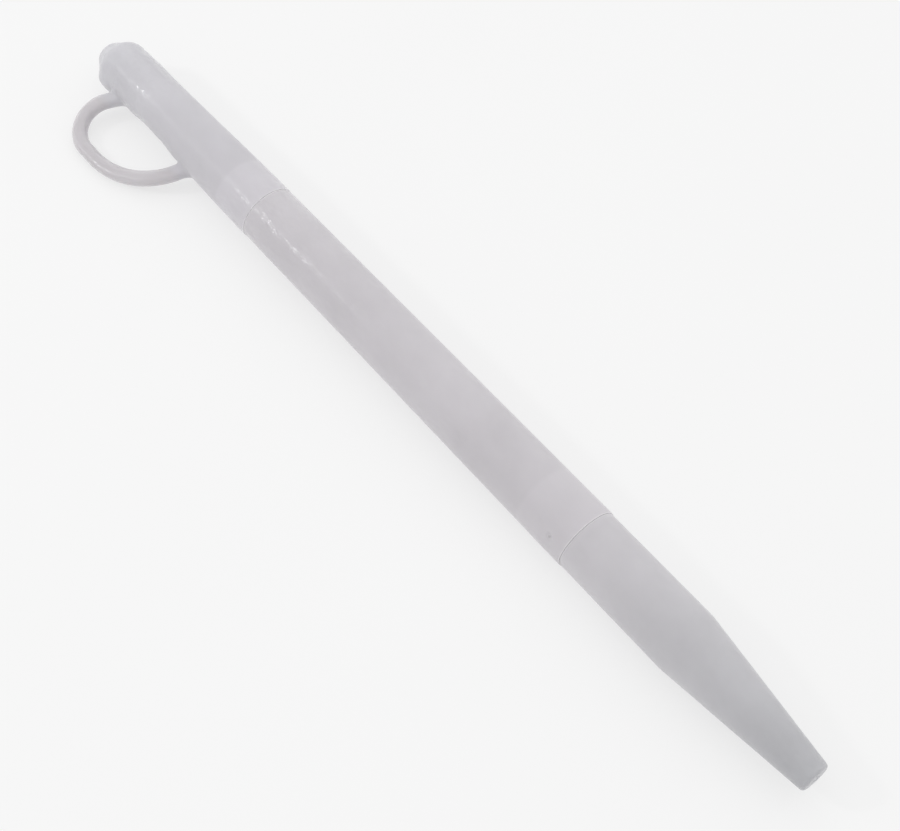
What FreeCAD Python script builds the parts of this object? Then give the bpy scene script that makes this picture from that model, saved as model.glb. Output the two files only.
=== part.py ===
import FreeCAD, Part
import os

import Sketcher

# Dip pen holder: a slim push-fit tube of milky polyethylene that a dip pen travels in.
# Three mouldings on one line, X: the cap with its hanging loop, the barrel, and the closed nose.
# The origin is on the tube's line, in the plane where the cap's rim meets the barrel's shoulder.
# The cap runs to -X and the nose to +X. +Z is up with the holder lying on its side, the loop's
# far edge level with the underside of the barrel, which stops it rolling.

DIMENSIONS = {
    # cap
    "cap_length": 47.5,
    "cap_end_radius": 4.9,
    "cap_waist_at": 20.0,
    "cap_waist_radius": 4.96,
    "cap_swell_at": 37.0,
    "cap_swell_radius": 5.34,
    "cap_mouth_radius": 5.48,
    "cap_bevel_length": 3.6,
    "cap_bevel_depth": 2.6,
    "cap_bore_end_radius": 4.0,
    "cap_bore_radius": 4.4,
    "cap_floor": 1.3,
    "cap_edge_round": 0.8,
    # hanging loop, moulded on the cap and drawn in the plane of the tube's line
    "loop_bend_at": 11.9,
    "loop_bend_out": 9.9,
    "loop_bend_radius": 5.6,
    "loop_flat": 2.6,
    "loop_back_radius": 15.6,
    "loop_foot_depth": 3.0,
    "loop_near_foot_at": 9.6,
    "loop_far_foot_at": 30.3,
    "loop_bar_width": 2.7,
    "loop_bar_depth": 2.3,
    "loop_root_round": 0.6,
    "loop_lean": 17.0,
    # neck of the barrel, which the cap pushes over
    "neck_length": 8.3,
    "neck_radius": 4.64,
    "neck_bore_radius": 3.85,
    "neck_lead_in": 0.3,
    "neck_bore_overrun": 1.0,
    "neck_bore_step": 1.0,
    # barrel
    "barrel_length": 82.0,
    "barrel_shoulder_radius": 5.36,
    "barrel_foot_radius": 5.81,
    "barrel_bore_top_radius": 4.5,
    "barrel_bore_foot_radius": 4.78,
    # spigot of the nose, which pushes into the barrel's foot
    "spigot_length": 10.3,
    "spigot_radius": 4.9,
    "spigot_bore_radius": 4.3,
    "spigot_lead_in": 0.3,
    # nose
    "nose_straight": 22.6,
    "nose_taper": 27.9,
    "nose_top_radius": 5.69,
    "nose_shoulder_radius": 5.74,
    "nose_tip_radius": 2.7,
    "nose_bore_shoulder_radius": 4.2,
    "nose_bore_end_radius": 1.6,
    "nose_floor": 1.4,
    "nose_tip_round": 0.75,
    "nose_shoulder_round": 3.0,
    # push fits
    "fit_gap": 0.04,
    "fit_end_gap": 0.2,
    "socket_lead_in": 0.2,
}


def make_sheet(doc):
    """The driving dimensions, in millimetres and degrees, one aliased cell each."""
    sheet = doc.addObject("Spreadsheet::Sheet", "Dimensions")
    for row, (name, value) in enumerate(DIMENSIONS.items(), start=1):
        sheet.set(f"A{row}", name)
        sheet.set(f"B{row}", str(value))
        sheet.setAlias(f"B{row}", name)
    doc.recompute()
    return sheet


def bound(formula):
    """A formula of plain names as an expression that reads the sheet."""
    words = []
    for word in formula.split():
        words.append(f"Dimensions.{word}" if word in DIMENSIONS else word)
    return " ".join(words)


def origin_feature(body, role):
    return next(f for f in body.Origin.OriginFeatures if f.Role == role)


def add_sketch(body, name, plane_role="XY_Plane"):
    sketch = body.newObject("Sketcher::SketchObject", name)
    sketch.AttachmentSupport = [(origin_feature(body, plane_role), "")]
    sketch.MapMode = "FlatFace"
    return sketch


def bind_point(sketch, edge, end, name, formula_x, formula_y):
    """Fixes one end of a sketch edge at two formulas, measured from the sketch's origin."""
    for kind, axis, formula in (("DistanceX", "x", formula_x), ("DistanceY", "y", formula_y)):
        index = sketch.addConstraint(Sketcher.Constraint(kind, -1, 1, edge, end, 1.0))
        sketch.renameConstraint(index, f"{name}_{axis}")
        sketch.setExpression(f"Constraints.{name}_{axis}", bound(formula))


def draw_outline(sketch, corners):
    """A closed outline of straight edges. corners maps each corner's name to its two formulas.
    The edges are drawn roughly, on a ring, and the constraints bring every corner to its place."""
    count = len(corners)
    ring = Part.makeCircle(10).discretize(count + 1)
    for i in range(count):
        sketch.addGeometry(Part.LineSegment(ring[i], ring[i + 1]), False)
    for i in range(count):
        sketch.addConstraint(Sketcher.Constraint("Coincident", i, 2, (i + 1) % count, 1))
    for i, (name, (formula_x, formula_y)) in enumerate(corners.items()):
        bind_point(sketch, i, 1, name, formula_x, formula_y)


def revolve(body, sketch, kind, name):
    """A Revolution or a Groove of the sketch, a full turn round the tube's line."""
    turned = body.newObject(f"PartDesign::{kind}", name)
    turned.Profile = sketch
    turned.ReferenceAxis = (origin_feature(body, "X_Axis"), [""])
    turned.Angle = 360
    return turned


def ring_edge(shape, along, radius, within=0.05):
    """The name of the full-circle edge of this radius at this distance along X."""
    for i, edge in enumerate(shape.Edges, start=1):
        curve = edge.Curve
        if not isinstance(curve, Part.Circle) or edge.Length < 6.2 * curve.Radius:
            continue
        if abs(curve.Center.x - along) < within and abs(curve.Radius - radius) < within:
            return f"Edge{i}"
    raise ValueError(f"no ring of radius {radius} at {along}")


def dress(body, kind, name, base, edges, size_property, formula):
    """A Fillet or Chamfer on the named edges of the base feature."""
    dressed = body.newObject(f"PartDesign::{kind}", name)
    dressed.Base = (base, edges)
    dressed.setExpression(size_property, bound(formula))
    body.Document.recompute()
    return dressed


def make_cap(doc):
    """The cap, closed end at the body's own origin, mouth at cap_length, loop on the +Y side."""
    d = DIMENSIONS
    body = doc.addObject("PartDesign::Body", "cap")
    skin = add_sketch(body, "CapOutline", "XZ_Plane")
    draw_outline(skin, {
        "end_centre": ("0", "0"),
        "end_edge": ("0", "cap_end_radius - cap_bevel_depth"),
        "bevel_edge": ("cap_bevel_length", "cap_end_radius"),
        "waist": ("cap_waist_at", "cap_waist_radius"),
        "swell": ("cap_swell_at", "cap_swell_radius"),
        "rim": ("cap_length", "cap_mouth_radius"),
        "rim_centre": ("cap_length", "0"),
    })
    revolve(body, skin, "Revolution", "CapBlank")
    doc.recompute()

    path = add_sketch(body, "LoopPath")
    draw_loop_path(path)
    doc.recompute()
    section = body.newObject("Sketcher::SketchObject", "LoopSection")
    section.AttachmentSupport = [(path, "Edge1")]
    section.MapMode = "NormalToEdge"
    doc.recompute()
    draw_loop_section(section, path)
    doc.recompute()
    loop = body.newObject("PartDesign::AdditivePipe", "Loop")
    loop.Profile = section
    loop.Spine = (path, [f"Edge{i}" for i in range(1, 6)])
    loop.Mode = "Standard"
    loop.Transition = "Transformed"
    doc.recompute()

    roots = root_edges(loop.Shape)
    blend = dress(body, "Fillet", "LoopRootRounds", loop, roots, "Radius", "loop_root_round")
    ends = [
        ring_edge(blend.Shape, 0, d["cap_end_radius"] - d["cap_bevel_depth"]),
        ring_edge(blend.Shape, d["cap_bevel_length"], d["cap_end_radius"]),
    ]
    dress(body, "Fillet", "CapEndRounds", blend, ends, "Radius", "cap_edge_round")

    hollow = add_sketch(body, "CapBoreOutline", "XZ_Plane")
    socket_bottom = "cap_length - neck_length - fit_end_gap"
    draw_outline(hollow, {
        "mouth_centre": ("cap_length", "0"),
        "mouth": ("cap_length", "neck_radius + fit_gap + socket_lead_in"),
        "mouth_lead": ("cap_length - socket_lead_in", "neck_radius + fit_gap"),
        "socket_bottom": (socket_bottom, "neck_radius + fit_gap"),
        "bore_top": (socket_bottom, "cap_bore_radius"),
        "bore_bevel": ("cap_bevel_length + cap_floor", "cap_bore_end_radius"),
        "bore_floor_edge": ("cap_floor", "cap_end_radius - cap_bevel_depth"),
        "bore_floor": ("cap_floor", "0"),
    })
    revolve(body, hollow, "Groove", "CapBore")
    doc.recompute()

    body.Placement = FreeCAD.Placement(
        FreeCAD.Vector(-d["cap_length"], 0, 0),
        FreeCAD.Rotation(FreeCAD.Vector(1, 0, 0), 180 + d["loop_lean"]),
    )
    body.setExpression("Placement.Base.x", bound("- cap_length"))
    return body


def draw_loop_path(path):
    """The bar's centre line: out of the wall, a small bend, a short flat and a long back bend."""
    d = DIMENSIONS
    bend = FreeCAD.Vector(d["loop_bend_at"], d["loop_bend_out"], 0)
    top = d["loop_bend_out"] + d["loop_bend_radius"]
    back = FreeCAD.Vector(d["loop_bend_at"] + d["loop_flat"], top - d["loop_back_radius"], 0)
    up = FreeCAD.Vector(0, 0, 1)
    foot = d["loop_foot_depth"]
    small = Part.Circle(bend, up, d["loop_bend_radius"])
    large = Part.Circle(back, up, d["loop_back_radius"])
    # rough angles, in radians, of the arcs' free ends; the tangent constraints settle them
    small_arc = Part.ArcOfCircle(small, 1.571, 3.5)
    large_arc = Part.ArcOfCircle(large, 0.5, 1.571)
    near_foot = FreeCAD.Vector(d["loop_near_foot_at"], foot, 0)
    far_foot = FreeCAD.Vector(d["loop_far_foot_at"], foot, 0)
    path.addGeometry(Part.LineSegment(near_foot, small_arc.EndPoint), False)
    path.addGeometry(small_arc, False)
    path.addGeometry(Part.LineSegment(small_arc.StartPoint, large_arc.EndPoint), False)
    path.addGeometry(large_arc, False)
    path.addGeometry(Part.LineSegment(large_arc.StartPoint, far_foot), False)
    near_leg, bend_arc, flat, back_arc, far_leg = range(5)
    for rule in (
        Sketcher.Constraint("Tangent", near_leg, 2, bend_arc, 2),
        Sketcher.Constraint("Tangent", bend_arc, 1, flat, 1),
        Sketcher.Constraint("Tangent", flat, 2, back_arc, 2),
        Sketcher.Constraint("Tangent", back_arc, 1, far_leg, 1),
        Sketcher.Constraint("Horizontal", flat),
    ):
        path.addConstraint(rule)
    bind_point(path, bend_arc, 3, "bend_centre", "loop_bend_at", "loop_bend_out")
    bind_point(path, near_leg, 1, "near_foot", "loop_near_foot_at", "loop_foot_depth")
    bind_point(path, far_leg, 2, "far_foot", "loop_far_foot_at", "loop_foot_depth")
    sizes = (
        ("Radius", (bend_arc,), "bend_radius", "loop_bend_radius"),
        ("Radius", (back_arc,), "back_radius", "loop_back_radius"),
        ("DistanceX", (flat, 1, flat, 2), "flat_length", "loop_flat"),
    )
    for kind, places, name, formula in sizes:
        index = path.addConstraint(Sketcher.Constraint(kind, *places, d[formula]))
        path.renameConstraint(index, name)
        path.setExpression(f"Constraints.{name}", bound(formula))


def draw_loop_section(section, path):
    """The bar's oval section, wide in the loop's plane, centred on the start of the path."""
    d = DIMENSIONS
    # the sketch's own X or Y direction that lies in the loop's plane takes the width
    in_plane = section.Placement.Rotation.multVec(FreeCAD.Vector(1, 0, 0))
    wide_on_x = abs(in_plane.z) < 0.5
    centre = FreeCAD.Vector(0, 0, 0)
    wide = d["loop_bar_width"] / 2
    deep = d["loop_bar_depth"] / 2
    along = FreeCAD.Vector(wide, 0, 0) if wide_on_x else FreeCAD.Vector(0, wide, 0)
    across = FreeCAD.Vector(0, deep, 0) if wide_on_x else FreeCAD.Vector(-deep, 0, 0)
    section.addGeometry(Part.Ellipse(along, across, centre), False)
    section.addConstraint(Sketcher.Constraint("Coincident", 0, 3, -1, 1))


def root_edges(shape):
    """The edges where the loop's bar meets the cap's outside."""
    d = DIMENSIONS
    slack = 0.5
    names = []
    for i, edge in enumerate(shape.Edges, start=1):
        if isinstance(edge.Curve, (Part.Circle, Part.Line)):
            continue
        box = edge.BoundBox
        reach = max(v.Point.y for v in edge.Vertexes)
        at_wall = d["cap_end_radius"] - slack < reach < d["cap_mouth_radius"] + slack
        if at_wall and box.ZLength > 0.5 * d["loop_bar_depth"]:
            names.append(f"Edge{i}")
    return names


def make_barrel(doc):
    """The barrel, its shoulder at the origin, its neck to -X and its open foot to +X."""
    d = DIMENSIONS
    body = doc.addObject("PartDesign::Body", "barrel")
    wall = add_sketch(body, "BarrelOutline")
    socket_bottom = "barrel_length - spigot_length - fit_end_gap"
    draw_outline(wall, {
        "neck_mouth": ("- neck_length", "neck_bore_radius"),
        "neck_edge": ("- neck_length", "neck_radius"),
        "neck_root": ("0", "neck_radius"),
        "shoulder": ("0", "barrel_shoulder_radius"),
        "foot": ("barrel_length", "barrel_foot_radius"),
        "socket_mouth": ("barrel_length", "spigot_radius + fit_gap + socket_lead_in"),
        "socket_lead": ("barrel_length - socket_lead_in", "spigot_radius + fit_gap"),
        "socket_bottom": (socket_bottom, "spigot_radius + fit_gap"),
        "bore_foot": (socket_bottom, "barrel_bore_foot_radius"),
        "bore_top": ("neck_bore_overrun + neck_bore_step", "barrel_bore_top_radius"),
        "bore_step": ("neck_bore_overrun", "neck_bore_radius"),
    })
    tube = revolve(body, wall, "Revolution", "BarrelWall")
    doc.recompute()
    edge = ring_edge(tube.Shape, -d["neck_length"], d["neck_radius"])
    dress(body, "Chamfer", "NeckLeadIn", tube, [edge], "Size", "neck_lead_in")
    return body


def make_nose(doc):
    """The nose, the face that meets the barrel at the body's own origin, its tip to +X."""
    d = DIMENSIONS
    body = doc.addObject("PartDesign::Body", "nose")
    wall = add_sketch(body, "NoseOutline")
    length = "nose_straight + nose_taper"
    draw_outline(wall, {
        "spigot_mouth": ("- spigot_length", "spigot_bore_radius"),
        "spigot_edge": ("- spigot_length", "spigot_radius"),
        "spigot_root": ("0", "spigot_radius"),
        "seat": ("0", "nose_top_radius"),
        "shoulder": ("nose_straight", "nose_shoulder_radius"),
        "tip_edge": (length, "nose_tip_radius"),
        "tip_centre": (length, "0"),
        "bore_floor": (f"{length} - nose_floor", "0"),
        "bore_floor_edge": (f"{length} - nose_floor", "nose_bore_end_radius"),
        "bore_shoulder": ("nose_straight", "nose_bore_shoulder_radius"),
    })
    tube = revolve(body, wall, "Revolution", "NoseWall")
    doc.recompute()
    full = d["nose_straight"] + d["nose_taper"]
    edge = ring_edge(tube.Shape, -d["spigot_length"], d["spigot_radius"])
    lead = dress(body, "Chamfer", "SpigotLeadIn", tube, [edge], "Size", "spigot_lead_in")
    edge = ring_edge(lead.Shape, full, d["nose_tip_radius"])
    tip = dress(body, "Fillet", "TipRound", lead, [edge], "Radius", "nose_tip_round")
    edge = ring_edge(tip.Shape, d["nose_straight"], d["nose_shoulder_radius"])
    dress(body, "Fillet", "ShoulderRound", tip, [edge], "Radius", "nose_shoulder_round")
    body.Placement.Base = FreeCAD.Vector(d["barrel_length"], 0, 0)
    body.setExpression("Placement.Base.x", bound("barrel_length"))
    return body


def check_document(doc, bodies):
    """Stops if any object failed to compute or any moulding isn't one sound solid."""
    for item in doc.Objects:
        if "Invalid" in item.State or "Error" in item.State:
            raise RuntimeError(f"{item.Label} failed: {item.State}")
    for body in bodies:
        shape = body.Shape
        if shape.isNull() or not shape.isValid() or len(shape.Solids) != 1:
            raise RuntimeError(f"{body.Label} is not one valid solid")


def main():
    doc = FreeCAD.newDocument("DipPenHolder")
    make_sheet(doc)
    bodies = [make_cap(doc), make_barrel(doc), make_nose(doc)]
    doc.recompute()
    check_document(doc, bodies)
    os.makedirs("parts", exist_ok=True)
    for body in bodies:
        body.Shape.exportStep(f"parts/{body.Label}.step")
        box = body.Shape.optimalBoundingBox()
        print(f"{body.Label}: {body.Shape.Volume:.1f} mm3, x {box.XMin:.2f} to {box.XMax:.2f}, "
              f"y {box.YMin:.2f} to {box.YMax:.2f}, z {box.ZMin:.2f} to {box.ZMax:.2f}")


main()
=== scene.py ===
import math

import bmesh
import bpy
from mathutils import Matrix, Vector, noise


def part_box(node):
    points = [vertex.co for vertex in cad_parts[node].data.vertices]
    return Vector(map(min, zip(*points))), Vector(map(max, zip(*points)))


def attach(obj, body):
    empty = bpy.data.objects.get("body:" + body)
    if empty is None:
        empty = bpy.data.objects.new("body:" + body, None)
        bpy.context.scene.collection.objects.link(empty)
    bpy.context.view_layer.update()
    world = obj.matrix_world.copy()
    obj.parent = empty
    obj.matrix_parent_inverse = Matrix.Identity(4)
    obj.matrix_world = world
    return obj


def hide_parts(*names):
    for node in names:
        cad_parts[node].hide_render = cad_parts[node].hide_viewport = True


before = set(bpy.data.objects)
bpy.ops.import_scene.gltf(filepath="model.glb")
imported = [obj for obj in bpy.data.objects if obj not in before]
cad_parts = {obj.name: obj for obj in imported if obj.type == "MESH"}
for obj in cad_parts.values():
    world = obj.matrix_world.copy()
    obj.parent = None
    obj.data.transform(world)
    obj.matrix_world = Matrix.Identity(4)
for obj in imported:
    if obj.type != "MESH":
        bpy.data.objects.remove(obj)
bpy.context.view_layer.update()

# Dip pen holder: three milky polyethylene mouldings pushed together on one line, X.
# Lengths are in millimetres until a mesh is finished, and MM turns them into metres.
MM = 0.001


# ------------------------------------------------------------------ sizes, read from the frame

def node_span(node):
    """First and last X of a CAD node, in millimetres."""
    low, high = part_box(node)
    return low.x / MM, high.x / MM


CAP_END, CAP_RIM = node_span("cap")
NECK_END, BARREL_FOOT = node_span("barrel")
SPIGOT_END, NOSE_TIP = node_span("nose")
CAP_LENGTH = CAP_RIM - CAP_END
NECK_LENGTH = -NECK_END
SPIGOT_LENGTH = BARREL_FOOT - SPIGOT_END
NOSE_LENGTH = NOSE_TIP - BARREL_FOOT
FLOOR_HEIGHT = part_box("barrel")[0].z

# ------------------------------------------------------------------ sizes of the mouldings

# push fits: the gap round a neck or spigot, the room left behind its end, the gap between two rims
# at rest, the rounding of a step's and of a rim's outer edge, and the sloping lead-ins
FIT_GAP = 0.04
END_ROOM = 0.2
REST_GAP = 0.002
EDGE_ROUND = 0.02
RIM_ROUND = 0.03
SOCKET_LEAD = 0.2
SOCKET_LEAD_ROUND = 0.06
SPIGOT_LEAD = 0.3

# the cap; its lean is in degrees, and its bore is given behind the socket and at the bevel
CAP_LEAN = 17.0
CAP_END_RADIUS = 2.44
CAP_END_SHIFT = 0.3
CAP_BEVEL_LENGTH = 3.3
CAP_BEVEL_RADIUS = 4.74
CAP_WAIST_RADIUS = 4.9
CAP_MOUTH_RADIUS = 5.45
CAP_SWELL_FROM = 12.0
CAP_FLOOR = 1.3
CAP_BORE = (4.4, 4.0)

# the barrel; its bore widens over the stretch BORE_STEP and is given at both its ends
NECK_RADIUS = 4.64
NECK_BORE = 3.85
BARREL_TOP_RADIUS = 5.39
BARREL_FOOT_RADIUS = 5.81
BARREL_BORE = (4.5, 4.78)
BORE_STEP = (1.0, 2.0)

# the nose; its lean is a slope
SPIGOT_RADIUS = 4.9
SPIGOT_BORE = 4.3
NOSE_STRAIGHT = 22.6
NOSE_TOP_RADIUS = 5.69
NOSE_SHOULDER_RADIUS = 5.74
NOSE_TIP_RADIUS = 2.7
NOSE_BORE = 4.2
NOSE_FLOOR = 1.4
NOSE_FLOOR_RADIUS = 1.6
NOSE_LEAN = 0.0157

# hanging loop, in the cap's own plane: X from the closed end, Y out from the tube's line
BAR_WIDTH = 2.76
BAR_DEPTH = 2.38
BAR_SQUARENESS = 2.6
BEND_CENTRE = Vector((11.9, 9.9, 0))
BEND_RADIUS = 5.6
BACK_RADIUS = 15.6
FLAT_LENGTH = 2.6
NEAR_FOOT = Vector((9.6, 3.0, 0))
FAR_FOOT = Vector((30.3, 3.0, 0))

# the loop's roots: each grows out of a patch of the skin, over a fillet that takes up no more than
# a share of the way to the patch's edge, and turns into the plain bar at a height above the skin
ROOT_HALF_LENGTH = 3.0
ROOT_STEPS = 16
ROOT_COLUMNS = 14
ROOT_FILLET = 0.95
FILLET_SHARE = 0.85
FILLET_STEPS = 7
BAR_HEIGHT = 1.25
# the line's points that carry a ring: those within X, or above the roots less a margin in Y
SWEEP_SPAN = (8, 25)
SWEEP_MARGIN = 0.2

# soft shapes on the cap's loop side, each a place along X, half its length, half its breadth and
# its height: the low pad that ties the near root to the closed end, and the sunk skin between roots
CAP_SWELLINGS = ((4.0, 3.3, 2.4, 0.56), (19.2, 6.8, 4.2, -0.3))
# the share of that length and breadth that is level, and the radii where they start and stop
SWELLING_LEVEL = (0.35, 0.3)
SWELLING_STARTS = (3.0, 4.6)
SWELLING_STOPS = (5.4, 7.0)

# gate marks: a nub in a shallow dish, on both closed ends and on the barrel's side. The dish's
# floor and edge, and where the side's dish and nub start and stop, are in gate radii. The side's
# mark is given by its X and its angle, and its dish by its share of the full depth
GATE_RADIUS = 0.35
GATE_HEIGHT = 0.12
GATE_DEPTH = 0.16
DISH_FLOOR = 1.9
DISH_EDGE = 2.1
SIDE_GATE = (78.7, 151.4)
SIDE_DISH = (1.5, 2.1)
SIDE_NUB = (0.3, 0.8)
SIDE_DISH_SHARE = 0.5

# parting lines: their two angles on each piece in degrees, half their width as an angle, their
# height, how far from a rim or tip they end, and the radius, measured from the top of the barrel
# or nose, at which they begin
CAP_LINES = (0, 180)
BARREL_LINES = (25.0, 205.0)
NOSE_LINES = (12.0, 192.0)
LINE_HALF_ANGLE = 0.6
LINE_HEIGHT = 0.025
LINE_RIM_INSET = 0.4
LINE_TIP_INSET = 0.8
BARREL_LINE_RISE = 0.004
NOSE_LINE_RISE = -0.01

# unevenness of the skin: its height, the length over which it repeats about RIPPLE_COUNT times,
# its stretch along the tube, the fractal's roughness, lacunarity and octaves, how far from a rim or
# tip it ends, and how deep below each piece's outside it reaches
RIPPLE_HEIGHT = 0.012
RIPPLE_LENGTH = 7.0
RIPPLE_COUNT = 3
RIPPLE_STRETCH = 2.2
RIPPLE_FRACTAL = (0.9, 2.0, 3)
RIPPLE_RIM_INSET = 0.5
RIPPLE_TIP_INSET = 1.5
CAP_SKIN = 0.2
BARREL_SKIN = 0.05
NOSE_SKIN = 0.35

# steps of the meshes: along the tube, along its inside, along the loop's bends, over a rounded
# corner, which takes up no more than a share of either side, round the tube in degrees, and close
# by the side gate, where the columns and rows of faces are finer over a short stretch
STATION_STEP = 0.45
BARREL_STEP = 1.6 * STATION_STEP
NOSE_STEP = 1.4 * STATION_STEP
INSIDE_STEP = 1.2
BEND_STEP = 0.4
ARC_STEPS = 6
ARC_SHARE = 0.45
COLUMN_ANGLE = 3.75
FINE_ANGLE = 1.0
FINE_COLUMNS = 8
FINE_HALF_LENGTH = 0.9
FINE_STEP = 0.12
# finding where a line meets the skin: the rounds, and the least slope that is reckoned with
SOLVE_STEPS = 12
LEAST_RISE = 0.3
ON_AXIS = 1e-6

# ------------------------------------------------------------------ sizes of the looks

# Each noise is its scale per millimetre, its detail and its roughness. Each range is the stretch of
# noise that is used and the two values it becomes. Depths and scatter are in metres.
CLOUD_NOISE, CLOUD_RANGE = (0.09, 3.0, 0.55), (0.3, 0.7, 0.965, 1.035)
SCUFF_NOISE, SCUFF_RANGE = (1.0, 4.0, 0.65), (0.35, 0.75, 0.34, 0.46)
SCUFF_STRETCH = (0.25, 2.2, 2.2)
GLOSS_NOISE, GLOSS_RANGE = (0.6, 2.0, 0.6), (0.42, 0.58, 0.05, 1.0)
GRAIN_NOISE, GRAIN_STRENGTH, GRAIN_DEPTH = (5.0, 3.0, 0.6), 0.3, 0.000005
PIT_NOISE, PIT_STRENGTH, PIT_DEPTH = (0.9, 2.0, 0.5), 1.0, 0.00014
SCATTER = 0.00045
PLASTIC = {
    "IOR": 1.5,
    "Specular IOR Level": 0.1,
    "Coat Roughness": 0.16,
    "Coat IOR": 1.35,
    "Subsurface Weight": 1.0,
    "Subsurface Radius": (1.0, 0.97, 1.02),
    "Subsurface Scale": SCATTER,
}
# the dark speck on the side gate: the radii where it stops, and its strength
SPECK_RADII = (0.12, 0.34)
SPECK_STRENGTH = 0.8
# Y over which the cap's skin turns into the loop's
LOOP_STARTS = (-6.0, -8.0)

FLOOR_NOISE = (0.02, 2.0, 0.5)
FLOOR_TONES = (0.295, 0.305)
FLOOR = {
    "Emission Color": (1, 1, 1, 1),
    "Emission Strength": 0.613,
    "Roughness": 1.0,
    "Specular IOR Level": 0.0,
}

# ------------------------------------------------------------------ the studio, in metres

FLOOR_SIZE = 12.0
FLOOR_SEGMENTS = 8
WORLD_STRENGTH = 0.69
SOFTBOX_PLACE = (-0.15, 0.4, 1.4)
SOFTBOX_SIZE = (3.0, 3.0)
SOFTBOX_POWER = 14.5
# small lamps that leave the broken glints: the point each is aimed at, its direction and its power
SMALL_LAMPS = (((0.003, 0, 0), (-0.499, -0.575, 0.648), 0.57),
               ((-0.041, 0, 0), (-0.593, -0.560, 0.577), 0.13))
LAMP_DISTANCE = 0.7
LAMP_SIZE = (0.07, 0.05)

VIEW_AZIMUTH = 49.7
VIEW_ELEVATION = 60.9
VIEW_DISTANCE = 0.30075
VIEW_AIM = (0.04864, 0.0002, FLOOR_HEIGHT)
LENS = 72.0
SENSOR_WIDTH = 36.0
CLIP = (0.01, 20.0)


# ------------------------------------------------------------------ mesh helpers

def smoothstep(low, high, value):
    part = min(1.0, max(0.0, (value - low) / (high - low)))
    return part * part * (3 - 2 * part)


def soften(corners, closed=False):
    """Corners (x, radius, rounding) as a run of (x, radius) points, each turned into an arc."""
    points = []
    count = len(corners)
    for i, (x, r, rounding) in enumerate(corners):
        here = Vector((x, r))
        at_end = not closed and i in (0, count - 1)
        if at_end or rounding <= 0:
            points.append(here)
            continue
        before = Vector(corners[i - 1][:2]) - here
        after = Vector(corners[(i + 1) % count][:2]) - here
        turn = math.pi - before.angle(after)
        room = ARC_SHARE * min(before.length, after.length)
        reach = min(rounding * math.tan(turn / 2), room)
        start = here + before.normalized() * reach
        end = here + after.normalized() * reach
        for k in range(ARC_STEPS + 1):
            along = k / ARC_STEPS
            points.append(start.lerp(here, along).lerp(here.lerp(end, along), along))
    return points


def spaced(points, step, closed=False):
    """The same run with points added, so that no two are further apart than step."""
    result = []
    last = len(points) if closed else len(points) - 1
    for i in range(last):
        a, b = points[i], points[(i + 1) % len(points)]
        parts = max(1, math.ceil((b - a).length / step))
        result.extend(a.lerp(b, k / parts) for k in range(parts))
    if not closed:
        result.append(points[-1])
    return result


def columns(line_angles, fine_at=None):
    """Angles round the tube, in degrees, with a tight pair of columns beside each parting line
    and a fan of close columns round one more angle if asked."""
    angles = {i * COLUMN_ANGLE for i in range(round(360 / COLUMN_ANGLE))}
    if fine_at is not None:
        angles.update(fine_at + i * FINE_ANGLE for i in range(-FINE_COLUMNS, FINE_COLUMNS + 1))
    for line in line_angles:
        angles.update({(line - LINE_HALF_ANGLE) % 360, line % 360, (line + LINE_HALF_ANGLE) % 360})
    return sorted(angles)


def ring_point(x, radius, angle):
    turn = math.radians(angle)
    return Vector((x, radius * math.cos(turn), radius * math.sin(turn)))


def lathe(bm, profile, angles, closed, lines, lines_from, lines_to, leave_out=()):
    """Turns the profile round X. A profile point on the axis becomes one vertex. Between the two
    profile indexes the parting lines stand up. leave_out holds (row, column) faces."""
    rows = []
    for i, (x, radius) in enumerate(profile):
        if radius < ON_AXIS:
            rows.append([bm.verts.new((x, 0, 0))])
            continue
        row = []
        for angle in angles:
            on_line = angle in lines and lines_from <= i <= lines_to
            height = LINE_HEIGHT if on_line else 0
            row.append(bm.verts.new(ring_point(x, radius + height, angle)))
        rows.append(row)
    count = len(angles)
    for i in range(len(rows) if closed else len(rows) - 1):
        low, high = rows[i], rows[(i + 1) % len(rows)]
        for j in range(count):
            if (i, j) in leave_out:
                continue
            k = (j + 1) % count
            if len(low) == 1:
                bm.faces.new((low[0], high[k], high[j]))
            elif len(high) == 1:
                bm.faces.new((low[j], low[k], high[0]))
            else:
                bm.faces.new((low[j], low[k], high[k], high[j]))
    return rows


def gate_corners(end, inward):
    """Corners of the nub and dish in the middle of a closed end, from the axis outwards. inward is
    1 where the piece lies on the far side of its end along X, and -1 on the near side."""
    nub = end + inward * (GATE_DEPTH - GATE_HEIGHT)
    floor = end + inward * GATE_DEPTH
    return [
        (nub, 0, 0),
        (nub, GATE_RADIUS, 0.1),
        (floor, GATE_RADIUS + 0.08, 0.05),
        (floor, DISH_FLOOR * GATE_RADIUS, 0.1),
        (end, DISH_EDGE * GATE_RADIUS, 0.08),
    ]


def ripple(bm, is_skin, seed):
    """Gives the outside skin the slow unevenness of a moulding that cooled freely."""
    bm.normal_update()
    shifts = []
    for v in bm.verts:
        if is_skin(v.co.x, math.hypot(v.co.y, v.co.z)):
            place = Vector((v.co.x / (RIPPLE_STRETCH * RIPPLE_LENGTH), v.co.y / RIPPLE_LENGTH,
                            v.co.z / RIPPLE_LENGTH + seed))
            height = RIPPLE_HEIGHT * noise.fractal(place * RIPPLE_COUNT, *RIPPLE_FRACTAL)
            shifts.append((v, v.normal * height))
    for v, shift in shifts:
        v.co += shift


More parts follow.
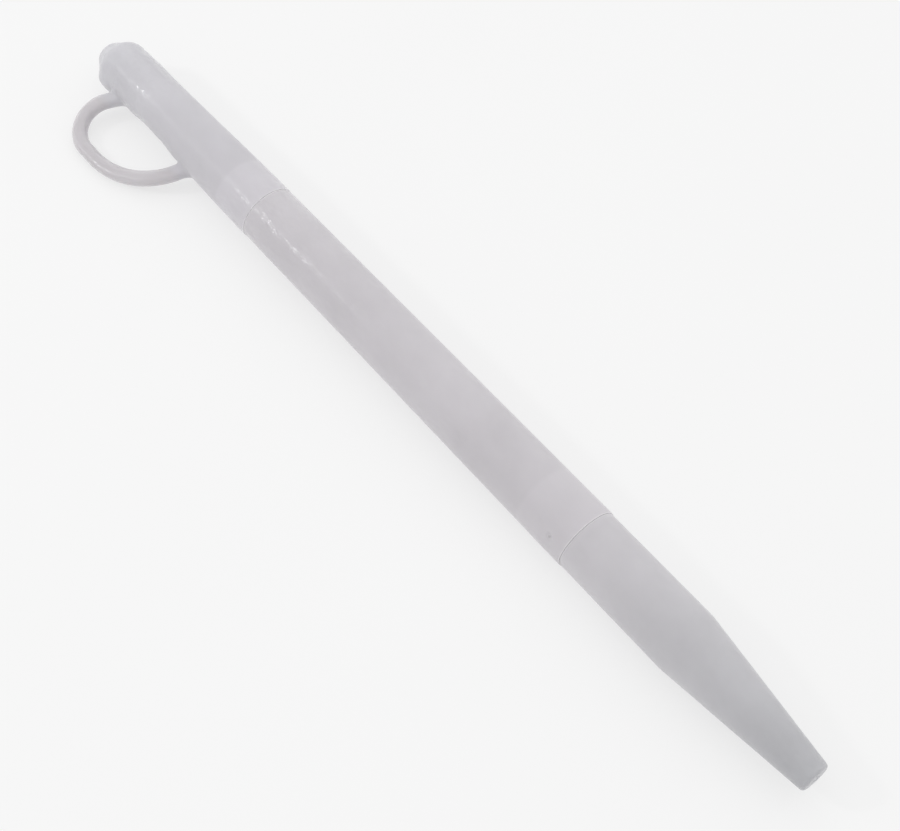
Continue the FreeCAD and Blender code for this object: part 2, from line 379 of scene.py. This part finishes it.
def finish_piece(bm, name, body, node, material, offset, turn=0.0):
    """Closes the mesh, puts it in the row frame and has it stand for its CAD node."""
    loose = [v for v in bm.verts if not v.link_faces]
    bmesh.ops.delete(bm, geom=loose, context="VERTS")
    bmesh.ops.recalc_face_normals(bm, faces=bm.faces)
    place = Matrix.Translation((offset, 0, 0)) @ Matrix.Rotation(math.radians(turn), 4, "X")
    bm.transform(Matrix.Scale(MM, 4) @ place)
    mesh = bpy.data.meshes.new(name)
    bm.to_mesh(mesh)
    bm.free()
    mesh.polygons.foreach_set("use_smooth", [True] * len(mesh.polygons))
    piece = bpy.data.objects.new(name, mesh)
    bpy.context.scene.collection.objects.link(piece)
    mesh.materials.append(material)
    weighted = piece.modifiers.new("weighted normals", "WEIGHTED_NORMAL")
    weighted.keep_sharp = True
    weighted.weight = 80
    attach(piece, body)
    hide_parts(node)


# ------------------------------------------------------------------ the cap and its loop

def cap_radius(x):
    """Outside radius of the cap behind its bevel, X counted from the closed end."""
    settle = smoothstep(CAP_BEVEL_LENGTH, 3 * CAP_BEVEL_LENGTH, x)
    swell = smoothstep(CAP_SWELL_FROM, CAP_LENGTH, x)
    return (CAP_BEVEL_RADIUS + (CAP_WAIST_RADIUS - CAP_BEVEL_RADIUS) * settle
            + (CAP_MOUTH_RADIUS - CAP_WAIST_RADIUS) * swell)


def on_cap(point):
    """The point moved straight in or out onto the cap's outside."""
    radius = math.hypot(point.y, point.z)
    scale = cap_radius(point.x) / radius
    return Vector((point.x, point.y * scale, point.z * scale))


def arc_points(centre, radius, start, end):
    count = max(2, math.ceil(abs(end - start) * radius / BEND_STEP))
    angles = [start + (end - start) * k / count for k in range(count + 1)]
    return [centre + radius * Vector((math.cos(a), math.sin(a), 0)) for a in angles]


def tangent_angle(foot, centre, radius, side):
    """Where, on a circle, the line from the foot touches it: the angle of the touching point."""
    to_foot = foot - centre
    spread = math.acos(radius / to_foot.length)
    return math.atan2(to_foot.y, to_foot.x) + side * spread


def loop_line():
    """The bar's centre line from one foot, in the wall, over the loop to the other foot."""
    back_centre = BEND_CENTRE + Vector((FLAT_LENGTH, BEND_RADIUS - BACK_RADIUS, 0))
    near_touch = tangent_angle(NEAR_FOOT, BEND_CENTRE, BEND_RADIUS, -1) % (2 * math.pi)
    far_touch = tangent_angle(FAR_FOOT, back_centre, BACK_RADIUS, 1)
    bend = arc_points(BEND_CENTRE, BEND_RADIUS, near_touch, math.pi / 2)
    back = arc_points(back_centre, BACK_RADIUS, math.pi / 2, far_touch)
    return [NEAR_FOOT] + bend + back + [FAR_FOOT]


def ways_up(line):
    """The bar's direction out of the wall at the near foot and at the far foot."""
    return (line[1] - line[0]).normalized(), (line[-2] - line[-1]).normalized()


def wall_crossing(foot, up):
    """X where the bar's centre line passes through the cap's skin."""
    x = foot.x
    for _ in range(SOLVE_STEPS):
        x = foot.x + up.x * (cap_radius(x) - foot.y) / up.y
    return x


def bar_ring(centre, inward, angles):
    """One ring of the bar. inward points to the inside of the loop, in the loop's plane."""
    across = Vector((0, 0, 1))
    power = 2 / BAR_SQUARENESS
    ring = []
    for a in angles:
        c, s = math.cos(a), math.sin(a)
        wide = math.copysign(abs(c) ** power, c) * BAR_WIDTH / 2
        deep = math.copysign(abs(s) ** power, s) * BAR_DEPTH / 2
        ring.append(centre + inward * wide + across * deep)
    return ring


def start_ring(foot, up, inward, angles):
    """The plain bar's first ring above a root, and its centre."""
    height = cap_radius(foot.x) + BAR_HEIGHT
    centre = foot + up * ((height - foot.y) / up.y)
    return centre, bar_ring(centre, inward, angles)


def root_cells():
    """(row, column) steps round a root's patch, from its inner side, and each one's bar angle."""
    half_rows, half_columns = ROOT_STEPS // 2, ROOT_COLUMNS // 2
    cells = [(half_rows, c) for c in range(half_columns)]
    cells += [(r, half_columns) for r in range(half_rows, -half_rows, -1)]
    cells += [(-half_rows, c) for c in range(half_columns, -half_columns, -1)]
    cells += [(r, -half_columns) for r in range(-half_rows, half_rows)]
    cells += [(half_rows, c) for c in range(-half_columns, 0)]
    return cells, [math.atan2(c / half_columns, r / half_rows) for r, c in cells]


def foot_points(ring, direction):
    """Where the bar's straight edges, run back along its direction, meet the cap's skin."""
    points = []
    for start in ring:
        point = start.copy()
        for _ in range(SOLVE_STEPS):
            excess = math.hypot(point.y, point.z) - cap_radius(point.x)
            rise = direction.y * point.y / math.hypot(point.y, point.z)
            point = point - direction * (excess / max(rise, LEAST_RISE))
        points.append(point)
    return points


def root_rings(edge, foot_line, top_ring):
    """Rings from the patch's edge, over the cap's skin and up a fillet to the bar's first ring."""
    feet = [on_cap(foot) for foot in foot_line]
    hems = []
    for start, foot in zip(edge, feet):
        out = start - foot
        hems.append(on_cap(foot + out * min(ROOT_FILLET / out.length, FILLET_SHARE)))
    rings = [[on_cap(s.lerp(h, k)) for s, h in zip(edge, hems)] for k in (0.5, 1.0)]
    for k in range(1, FILLET_STEPS):
        t = k / FILLET_STEPS
        rings.append([h.lerp(f, t).lerp(f.lerp(q, t), t) for h, f, q in zip(hems, feet, top_ring)])
    return rings


def bridge(bm, ring_a, ring_b):
    """Joins two rings of vertices with faces."""
    count = len(ring_a)
    for i in range(count):
        j = (i + 1) % count
        bm.faces.new((ring_a[i], ring_a[j], ring_b[j], ring_b[i]))


def add_loop(bm, rows, near_row, far_row):
    """Sweeps the bar and joins both its ends to the holes left in the cap's skin."""
    line = loop_line()
    near_up, far_up = ways_up(line)
    cells, angles = root_cells()
    column_count = len(rows[near_row])

    def patch_edge(centre_row, side):
        return [rows[centre_row + side * r][c % column_count] for r, c in cells]

    def rings_at(edge, ring, up):
        return root_rings([v.co.copy() for v in edge], foot_points(ring, up), ring)

    near_edge, far_edge = patch_edge(near_row, 1), patch_edge(far_row, -1)
    near_centre, near_ring = start_ring(NEAR_FOOT, near_up, Vector((near_up.y, -near_up.x, 0)),
                                        angles)
    far_centre, far_ring = start_ring(FAR_FOOT, far_up, Vector((-far_up.y, far_up.x, 0)), angles)
    sweep_from = max(near_centre.y, far_centre.y) - SWEEP_MARGIN

    rings = rings_at(near_edge, near_ring, near_up) + [near_ring]
    for i in range(1, len(line) - 1):
        if line[i].y > sweep_from or SWEEP_SPAN[0] < line[i].x < SWEEP_SPAN[1]:
            travel = (line[i + 1] - line[i - 1]).normalized()
            rings.append(bar_ring(line[i], Vector((travel.y, -travel.x, 0)), angles))
    rings += [far_ring] + rings_at(far_edge, far_ring, far_up)[::-1]

    previous = near_edge
    for ring in rings:
        verts = [bm.verts.new(p) for p in ring]
        bridge(bm, previous, verts)
        previous = verts
    bridge(bm, previous, far_edge)


def swell_loop_side(bm):
    """Moves the closed end towards the loop and raises or sinks the skin on the loop's side."""
    for v in bm.verts:
        x, y, z = v.co
        radius = math.hypot(y, z)
        lift = CAP_END_SHIFT * (1 - smoothstep(0, CAP_BEVEL_LENGTH, x))
        if y > 0:
            near_skin = smoothstep(*SWELLING_STARTS, radius)
            near_skin *= 1 - smoothstep(*SWELLING_STOPS, radius)
            for place, half_length, half_breadth, height in CAP_SWELLINGS:
                along = 1 - smoothstep(SWELLING_LEVEL[0] * half_length, half_length, abs(x - place))
                across = 1 - smoothstep(SWELLING_LEVEL[1] * half_breadth, half_breadth, abs(z))
                lift += height * along * across * near_skin
        v.co.y += lift


def make_cap(material):
    near_up, far_up = ways_up(loop_line())
    near_at = wall_crossing(NEAR_FOOT, near_up)
    far_at = wall_crossing(FAR_FOOT, far_up)
    stops = [near_at - ROOT_HALF_LENGTH, near_at + ROOT_HALF_LENGTH,
             far_at - ROOT_HALF_LENGTH, far_at + ROOT_HALF_LENGTH, CAP_LENGTH - 3 * RIM_ROUND]
    end_outline = soften(gate_corners(0, 1) + [
        (0, CAP_END_RADIUS, 0.55),
        (CAP_BEVEL_LENGTH, CAP_BEVEL_RADIUS, 3.0),
        (stops[0], cap_radius(stops[0]), 0),
    ])
    profile = spaced(end_outline, STATION_STEP)[:-1]
    # between the stops lie a root's patch, plain skin, the other root's patch and plain skin
    first_rows = []
    for i, (start, end) in enumerate(zip(stops, stops[1:])):
        is_patch = i in (0, 2)
        parts = ROOT_STEPS if is_patch else math.ceil((end - start) / STATION_STEP)
        first_rows.append(len(profile))
        for k in range(parts):
            x = start + (end - start) * k / parts
            profile.append(Vector((x, cap_radius(x))))
    skin_end = len(profile)
    rim = CAP_LENGTH - REST_GAP
    socket = NECK_RADIUS + FIT_GAP
    socket_bottom = CAP_LENGTH - NECK_LENGTH - END_ROOM
    inside = soften([
        (stops[-1], cap_radius(stops[-1]), 0),
        (rim, CAP_MOUTH_RADIUS, RIM_ROUND),
        (rim, socket + SOCKET_LEAD, SOCKET_LEAD_ROUND),
        (CAP_LENGTH - SOCKET_LEAD, socket, SOCKET_LEAD_ROUND),
        (socket_bottom, socket, 0.05),
        (socket_bottom, CAP_BORE[0], 0.1),
        (CAP_BEVEL_LENGTH + CAP_FLOOR, CAP_BORE[1], 0.6),
        (CAP_FLOOR, CAP_END_RADIUS, 0.5),
        (CAP_FLOOR, 0, 0),
    ])
    profile += spaced(inside, INSIDE_STEP)

    angles = columns(CAP_LINES)
    half_rows, half_columns = ROOT_STEPS // 2, ROOT_COLUMNS // 2
    near_row, far_row = first_rows[0] + half_rows, first_rows[2] + half_rows
    holes = {(centre + r, c % len(angles)) for centre in (near_row, far_row)
             for r in range(-half_rows, half_rows) for c in range(-half_columns, half_columns)}
    bm = bmesh.new()
    rows = lathe(bm, profile, angles, closed=False, lines=CAP_LINES, lines_from=first_rows[0],
                 lines_to=skin_end, leave_out=holes)
    add_loop(bm, rows, near_row, far_row)
    swell_loop_side(bm)
    ripple(bm, lambda x, r: r > CAP_BEVEL_RADIUS - CAP_SKIN and x < CAP_LENGTH - RIPPLE_RIM_INSET,
           seed=3.1)
    finish_piece(bm, "cap_moulding", "cap", "cap", material, CAP_END,
                 180 + CAP_LEAN)


# ------------------------------------------------------------------ the barrel

def finer(points, place, half, step):
    """The same closed run with the outside stretch within half of place cut into short steps."""
    result = []
    for a, b in zip(points, points[1:] + points[:1]):
        outside = a.y > BARREL_TOP_RADIUS and b.y > BARREL_TOP_RADIUS and b.x > a.x
        near = a.x < place + half and b.x > place - half
        parts = math.ceil((b - a).length / step) if outside and near else 1
        result.extend(a.lerp(b, k / parts) for k in range(parts))
    return result


def side_gate_centre():
    along, angle = SIDE_GATE
    radius = BARREL_TOP_RADIUS + (BARREL_FOOT_RADIUS - BARREL_TOP_RADIUS) * along / BARREL_FOOT
    return ring_point(along, radius, angle)


def mark_side_gate(bm):
    """Sinks a small dish into the barrel's skin and leaves the torn nub of the gate in it."""
    centre = side_gate_centre()
    for v in bm.verts:
        if math.hypot(v.co.y, v.co.z) < BARREL_TOP_RADIUS:
            continue
        away = (v.co - centre).length / GATE_RADIUS
        dish = 1 - smoothstep(*SIDE_DISH, away)
        nub = 1 - smoothstep(*SIDE_NUB, away)
        out = Vector((0, v.co.y, v.co.z)).normalized()
        v.co += out * (GATE_HEIGHT * nub - SIDE_DISH_SHARE * GATE_DEPTH * dish)


def make_barrel(material):
    socket = SPIGOT_RADIUS + FIT_GAP
    socket_bottom = SPIGOT_END - END_ROOM
    outline = soften([
        (NECK_END, NECK_BORE, 0.08),
        (NECK_END, NECK_RADIUS - SPIGOT_LEAD, 0.1),
        (NECK_END + SPIGOT_LEAD, NECK_RADIUS, 0.2),
        (0, NECK_RADIUS, 0.05),
        (0, BARREL_TOP_RADIUS, EDGE_ROUND),
        (BARREL_FOOT, BARREL_FOOT_RADIUS, RIM_ROUND),
        (BARREL_FOOT, socket + SOCKET_LEAD, SOCKET_LEAD_ROUND),
        (BARREL_FOOT - SOCKET_LEAD, socket, SOCKET_LEAD_ROUND),
        (socket_bottom, socket, 0.04),
        (socket_bottom, BARREL_BORE[1], 0.05),
        (BORE_STEP[1], BARREL_BORE[0], 0.5),
        (BORE_STEP[0], NECK_BORE, 0.2),
    ], closed=True)
    profile = spaced(outline, BARREL_STEP, closed=True)
    profile = finer(profile, SIDE_GATE[0], FINE_HALF_LENGTH, FINE_STEP)
    skin = [i for i, (x, r) in enumerate(profile)
            if r > BARREL_TOP_RADIUS + BARREL_LINE_RISE and x < BARREL_FOOT - LINE_RIM_INSET]
    bm = bmesh.new()
    lathe(bm, profile, columns(BARREL_LINES, SIDE_GATE[1]), closed=True, lines=BARREL_LINES,
          lines_from=skin[0], lines_to=skin[-1])
    ripple(bm, lambda x, r: r > BARREL_TOP_RADIUS - BARREL_SKIN
           and RIPPLE_RIM_INSET < x < BARREL_FOOT - RIPPLE_RIM_INSET, seed=7.7)
    mark_side_gate(bm)
    finish_piece(bm, "barrel_moulding", "barrel", "barrel", material, 0)


# ------------------------------------------------------------------ the nose

def make_nose(material):
    outline = soften([
        (NOSE_LENGTH - NOSE_FLOOR, 0, 0),
        (NOSE_LENGTH - NOSE_FLOOR, NOSE_FLOOR_RADIUS, 0.5),
        (NOSE_STRAIGHT, NOSE_BORE, 6.0),
        (-SPIGOT_LENGTH, SPIGOT_BORE, 0.08),
        (-SPIGOT_LENGTH, SPIGOT_RADIUS - SPIGOT_LEAD, 0.08),
        (SPIGOT_LEAD - SPIGOT_LENGTH, SPIGOT_RADIUS, 0.2),
        (0, SPIGOT_RADIUS, 0.05),
        (0, NOSE_TOP_RADIUS, EDGE_ROUND),
        (NOSE_STRAIGHT, NOSE_SHOULDER_RADIUS, 8.0),
        (NOSE_LENGTH, NOSE_TIP_RADIUS, 0.75),
    ] + gate_corners(NOSE_LENGTH, -1)[::-1])
    profile = spaced(outline, NOSE_STEP)
    line_radius = NOSE_TOP_RADIUS + NOSE_LINE_RISE
    skin_start = next(i for i, (x, r) in enumerate(profile) if r > line_radius)
    skin_end = max(i for i, (x, r) in enumerate(profile) if x < NOSE_LENGTH - LINE_TIP_INSET)
    bm = bmesh.new()
    lathe(bm, profile, columns(NOSE_LINES), closed=False, lines=NOSE_LINES,
          lines_from=skin_start, lines_to=skin_end)

    def is_skin(x, r):
        taper = max(0.0, (x - NOSE_STRAIGHT) / (NOSE_LENGTH - NOSE_STRAIGHT))
        outside = NOSE_SHOULDER_RADIUS + (NOSE_TIP_RADIUS - NOSE_SHOULDER_RADIUS) * taper
        return r > outside - NOSE_SKIN and RIPPLE_RIM_INSET < x < NOSE_LENGTH - RIPPLE_TIP_INSET

    ripple(bm, is_skin, seed=12.4)
    for v in bm.verts:
        v.co.y -= NOSE_LEAN * max(0.0, v.co.x - NOSE_STRAIGHT)
    finish_piece(bm, "nose_moulding", "nose", "nose", material, BARREL_FOOT)


# ------------------------------------------------------------------ materials

class Nodes:
    """Short calls for building one material's node tree."""

    def __init__(self, name, constants):
        self.material = bpy.data.materials.new(name)
        self.material.use_nodes = True
        self.tree = self.material.node_tree
        self.shader = next(n for n in self.tree.nodes if n.type == "BSDF_PRINCIPLED")
        for key, value in constants.items():
            self.shader.inputs[key].default_value = value

    def add(self, kind, **values):
        node = self.tree.nodes.new(kind)
        for key, value in values.items():
            if key in node.inputs:
                node.inputs[key].default_value = value
            else:
                setattr(node, key, value)
        return node

    def link(self, source, target):
        self.tree.links.new(source, target)

    def place(self, stretch=(1, 1, 1)):
        """Object coordinates in millimetres, stretched along the tube if asked."""
        coordinates = self.add("ShaderNodeTexCoord")
        mapping = self.add("ShaderNodeMapping")
        mapping.inputs["Scale"].default_value = [v / MM for v in stretch]
        self.link(coordinates.outputs["Object"], mapping.inputs["Vector"])
        return mapping.outputs["Vector"]

    def vector_maths(self, operation, a, b):
        """b is a vector; the node comes back, because its operation decides which output counts."""
        node = self.add("ShaderNodeVectorMath", operation=operation)
        self.link(a, node.inputs[0])
        node.inputs[1].default_value = b
        return node

    def noise(self, vector, scale, detail, roughness):
        node = self.add("ShaderNodeTexNoise", Scale=scale, Detail=detail, Roughness=roughness)
        self.link(vector, node.inputs["Vector"])
        return node.outputs["Fac"]

    def between(self, value, low, high, to_low, to_high, smooth=False):
        node = self.add("ShaderNodeMapRange")
        node.interpolation_type = "SMOOTHSTEP" if smooth else "LINEAR"
        self.link(value, node.inputs["Value"])
        for key, number in (("From Min", low), ("From Max", high), ("To Min", to_low),
                            ("To Max", to_high)):
            node.inputs[key].default_value = number
        return node.outputs["Result"]

    def maths(self, operation, a, b):
        node = self.add("ShaderNodeMath", operation=operation)
        for socket, value in zip(node.inputs, (a, b)):
            if isinstance(value, (int, float)):
                socket.default_value = value
            else:
                self.link(value, socket)
        return node.outputs[0]

    def zoned(self, value, along, zones):
        """The value times each zone's factor: (from X, to X, factor before, factor after)."""
        for zone in zones:
            value = self.maths("MULTIPLY", value, self.between(along, *zone, smooth=True))
        return value

    def mixed(self, factor, first, second):
        """Goes from the first colour to the second. The first may be another node's output."""
        node = self.add("ShaderNodeMix", data_type="RGBA")
        self.link(factor, node.inputs["Factor"])
        if isinstance(first, tuple):
            node.inputs["A"].default_value = (*first, 1)
        else:
            self.link(first, node.inputs["A"])
        node.inputs["B"].default_value = (*second, 1)
        return node.outputs["Result"]

    def bump(self, vector, noise_sizes, strength, depth, target):
        """Unevenness finer than the mesh, for one of the shader's normals."""
        node = self.add("ShaderNodeBump", Strength=strength, Distance=depth)
        self.link(self.noise(vector, *noise_sizes), node.inputs["Height"])
        self.link(node.outputs["Normal"], self.shader.inputs[target])


def milky_plastic(name, colours, span, seed, painted_light_and_tone_zones, gloss_zones, loop=None, speck_at=None):
    """Translucent natural polyethylene: cloudy, softly glossy, faintly uneven. Its colour drifts
    from the first to the second over the span of X, in millimetres. Each zone is a stretch of X
    over which the colour's strength, or the skin's gloss, goes smoothly from one factor to another.
    Most colour zones are painted light and shade: painted highlights, lighter bands and darkening.
    The loop, if there is one, has a colour, a least gloss and a depth of scatter of its own. The
    speck is a dark dot of burnt plastic, where the gate was torn off."""
    n = Nodes(name, PLASTIC)
    shader = n.shader.inputs
    place = n.place()
    spot = n.vector_maths("ADD", place, (seed, seed * 2, seed * 3)).outputs["Vector"]
    along = n.add("ShaderNodeSeparateXYZ")
    n.link(place, along.inputs["Vector"])

    strength = n.between(n.noise(spot, *CLOUD_NOISE), *CLOUD_RANGE)
    # painted light and shade along X: highlights at the seams, lighter double walls, darkening
    # towards the tip
    strength = n.zoned(strength, along.outputs["X"], painted_light_and_tone_zones)
    if speck_at is not None:
        away = n.vector_maths("DISTANCE", place, speck_at).outputs["Value"]
        speck = n.between(away, *SPECK_RADII, SPECK_STRENGTH, 1.0, smooth=True)
        strength = n.maths("MULTIPLY", strength, speck)
    colour = n.mixed(n.between(along.outputs["X"], *span, 0.0, 1.0), *colours)
    gloss = n.between(n.noise(spot, *GLOSS_NOISE), *GLOSS_RANGE)
    gloss = n.zoned(gloss, along.outputs["X"], gloss_zones)
    if loop is not None:
        loop_colour, loop_gloss, loop_scatter = loop
        on_loop = n.between(along.outputs["Y"], *LOOP_STARTS, 0.0, 1.0, smooth=True)
        colour = n.mixed(on_loop, colour, loop_colour)
        gloss = n.maths("MAXIMUM", gloss, n.maths("MULTIPLY", on_loop, loop_gloss))
        n.link(n.between(on_loop, 0.0, 1.0, SCATTER, loop_scatter), shader["Subsurface Scale"])
    tint = n.add("ShaderNodeVectorMath", operation="SCALE")
    n.link(colour, tint.inputs[0])
    n.link(strength, tint.inputs["Scale"])
    n.link(tint.outputs["Vector"], shader["Base Color"])
    n.link(gloss, shader["Coat Weight"])

    scuffs = n.noise(n.place(SCUFF_STRETCH), *SCUFF_NOISE)
    n.link(n.between(scuffs, *SCUFF_RANGE), shader["Roughness"])
    n.bump(spot, GRAIN_NOISE, GRAIN_STRENGTH, GRAIN_DEPTH, "Normal")
    n.bump(spot, PIT_NOISE, PIT_STRENGTH, PIT_DEPTH, "Coat Normal")
    return n.material


def floor_material():
    n = Nodes("pale_floor", FLOOR)
    dark, light = ((tone,) * 3 for tone in FLOOR_TONES)
    tone = n.mixed(n.noise(n.place(), *FLOOR_NOISE), dark, light)
    n.link(tone, n.shader.inputs["Base Color"])
    return n.material


# ------------------------------------------------------------------ floor, lights and camera

def make_floor():
    bm = bmesh.new()
    bmesh.ops.create_grid(bm, x_segments=FLOOR_SEGMENTS, y_segments=FLOOR_SEGMENTS,
                          size=FLOOR_SIZE)
    bm.transform(Matrix.Translation((0, 0, FLOOR_HEIGHT)))
    mesh = bpy.data.meshes.new("floor")
    bm.to_mesh(mesh)
    bm.free()
    mesh.materials.append(floor_material())
    floor = bpy.data.objects.new("floor", mesh)
    bpy.context.scene.collection.objects.link(floor)


def make_area_light(name, aim, direction, distance, size, power):
    data = bpy.data.lights.new(name, "AREA")
    data.shape = "RECTANGLE"
    data.size, data.size_y = size
    data.energy = power
    lamp = bpy.data.objects.new(name, data)
    bpy.context.scene.collection.objects.link(lamp)
    toward = Vector(direction).normalized()
    lamp.location = Vector(aim) + toward * distance
    lamp.rotation_mode = "QUATERNION"
    lamp.rotation_quaternion = toward.to_track_quat("Z", "X")


def make_lights():
    world = bpy.data.worlds.new("studio")
    world.use_nodes = True
    background = world.node_tree.nodes["Background"]
    background.inputs["Color"].default_value = (1.0, 1.0, 1.0, 1)
    background.inputs["Strength"].default_value = WORLD_STRENGTH
    bpy.context.scene.world = world
    place = Vector(SOFTBOX_PLACE)
    make_area_light("softbox", (0, 0, 0), place, place.length, SOFTBOX_SIZE, SOFTBOX_POWER)
    for i, (aim, toward, power) in enumerate(SMALL_LAMPS):
        make_area_light(f"small_lamp_{i + 1}", aim, toward, LAMP_DISTANCE, LAMP_SIZE, power)


def make_camera():
    data = bpy.data.cameras.new("camera")
    data.lens = LENS
    data.sensor_width = SENSOR_WIDTH
    data.clip_start, data.clip_end = CLIP
    camera = bpy.data.objects.new("camera", data)
    bpy.context.scene.collection.objects.link(camera)
    turn, rise = math.radians(VIEW_AZIMUTH), math.radians(VIEW_ELEVATION)
    back = Vector((math.sin(turn) * math.cos(rise), -math.cos(turn) * math.cos(rise),
                   math.sin(rise)))
    camera.location = Vector(VIEW_AIM) + back * VIEW_DISTANCE
    camera.rotation_mode = "QUATERNION"
    camera.rotation_quaternion = (-back).to_track_quat("-Z", "Y")
    bpy.context.scene.camera = camera
    bpy.context.scene.view_settings.view_transform = "Standard"


# ------------------------------------------------------------------ the pieces and their plastics

# Zones of colour, most of them painted light and shade: the closed end a little darker as painted
# shade, lighter bands painted over the double walls behind both seams, painted highlights on the
# rims and steps at the seams so that a seam stays faint, the hidden neck and spigot darker, and
# painted shade along barrel and nose towards the tip.
make_cap(milky_plastic(
    "cap_plastic",
    colours=((0.5785, 0.5735, 0.601), (0.5856, 0.5691, 0.598)), span=(CAP_END, CAP_RIM), seed=1.7,
    # painted shade darkening the closed end, a painted lighter band over the double wall round the
    # neck, and a painted highlight along the rim
    painted_light_and_tone_zones=((-47.6, -45, 0.965, 1.0), (-8.6, -7.8, 1.0, 1.045), (-0.25, -0.08, 1.0, 1.12)),
    gloss_zones=((-46.5, -44.0, 0.3, 1.0), (-34, -28, 1.0, 0.12), (-9.5, -0.5, 1.0, 6.0)),
    loop=((0.522, 0.505, 0.518), 0.7, 0.003)))
make_barrel(milky_plastic(
    "barrel_plastic",
    colours=((0.588, 0.568, 0.592),) * 2, span=(0, BARREL_FOOT), seed=4.3,
    # the hidden neck darker, painted highlights on the top step and the skin beside it, painted
    # shade towards the foot, a painted lighter band over the double wall round the spigot, and a
    # painted highlight on the foot's rim
    painted_light_and_tone_zones=((-0.6, -0.3, 0.81, 1.0), (0.05, 0.28, 1.23, 1.0), (0.1, 1.0, 1.03, 1.0),
                  (-8, 82, 1.003, 0.983), (71.2, 72.2, 1.0, 1.04), (81.75, 81.92, 1.0, 1.1)),
    gloss_zones=((4, 9, 1.0, 0.45), (15, 26, 1.0, 0.4)),
    speck_at=side_gate_centre()))
make_nose(milky_plastic(
    "nose_plastic",
    colours=((0.5836, 0.5668, 0.5896), (0.5727, 0.5741, 0.595)), span=(BARREL_FOOT, NOSE_TIP),
    seed=8.9,
    # the hidden spigot darker, painted highlights on the top step and the skin beside it, and
    # painted light and shade along the nose that darkens it towards the tip
    painted_light_and_tone_zones=((81.4, 81.7, 0.81, 1.0), (82.05, 82.28, 1.23, 1.0), (82.1, 83.2, 1.03, 1.0),
                  (83, 95, 1.02, 1.0), (82, 132, 1.0, 0.875), (114, 119, 1.0, 1.025),
                  (123, 127, 1.0, 0.976)),
    gloss_zones=((82, 90, 0.25, 0.25),)))
make_floor()
make_lights()
make_camera()

bpy.context.view_layer.update()
